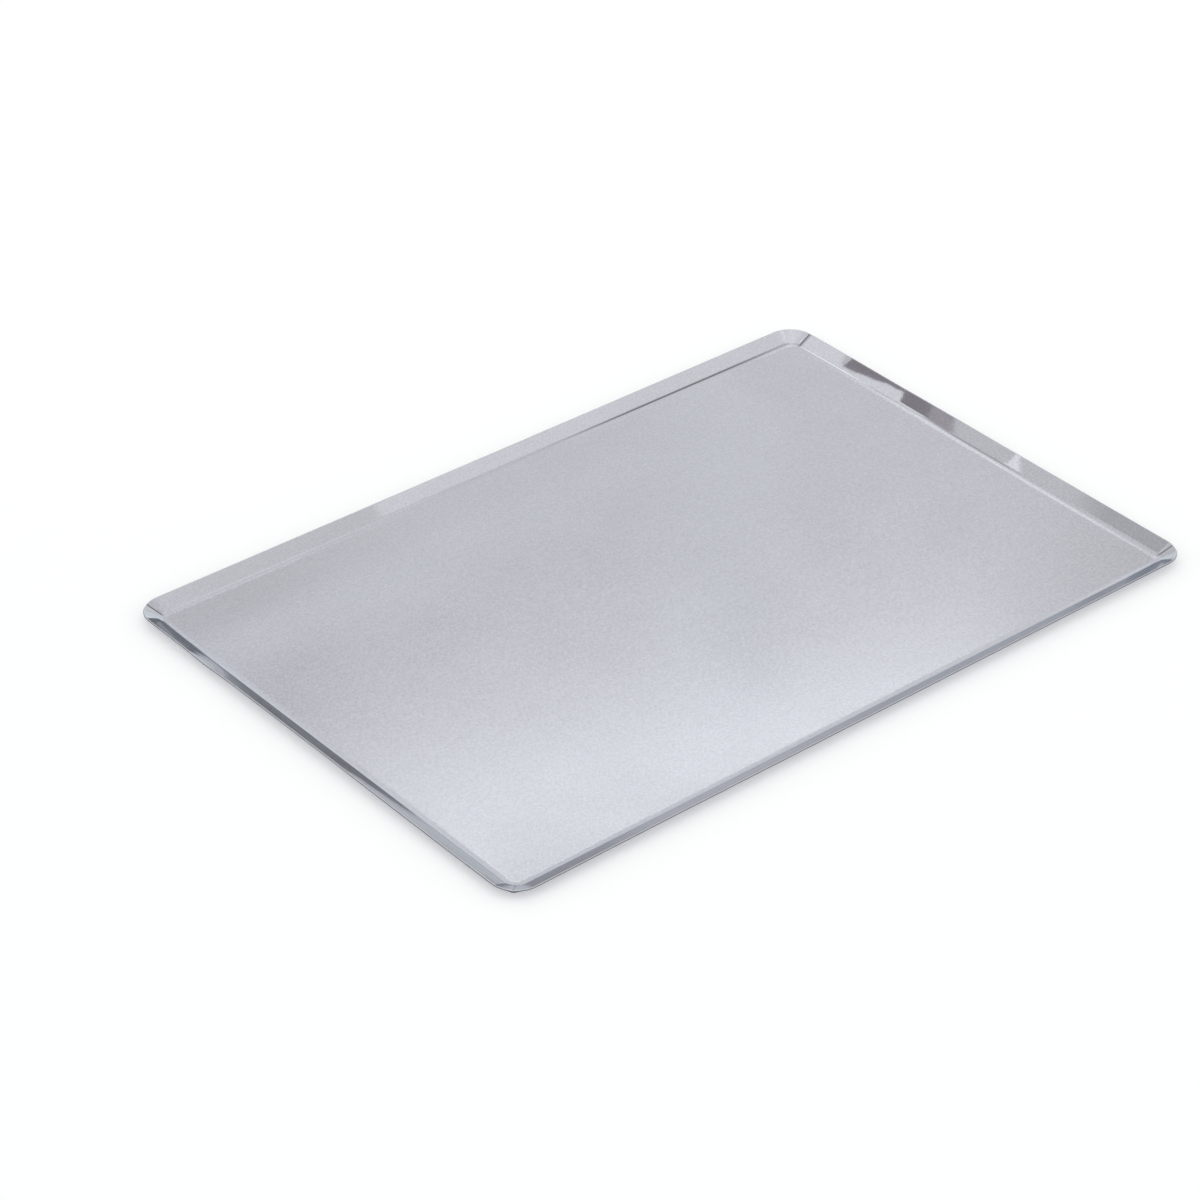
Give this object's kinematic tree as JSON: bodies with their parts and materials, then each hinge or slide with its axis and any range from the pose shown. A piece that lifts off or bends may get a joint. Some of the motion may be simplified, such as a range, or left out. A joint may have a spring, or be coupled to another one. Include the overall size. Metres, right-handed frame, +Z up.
{
  "type": "cookie sheet",
  "caption": "Flat rectangular sheet-metal baking sheet with a low flared lip on every side and round, pinched corners, for baking cookies in an oven or carrying them in a rack.",
  "frame": {"origin": "middle of the flat underside", "axes": "+X along the long sides, +Y along the short sides, +Z up out of the baking surface"},
  "size_m": [0.6, 0.4, 0.008],
  "materials": {
    "sheet_steel": "satin on the floor, brighter on the pressed lip"
  },
  "bodies": {
    "root": {"cookie_sheet": "sheet_steel"}
  },
  "joints": []
}
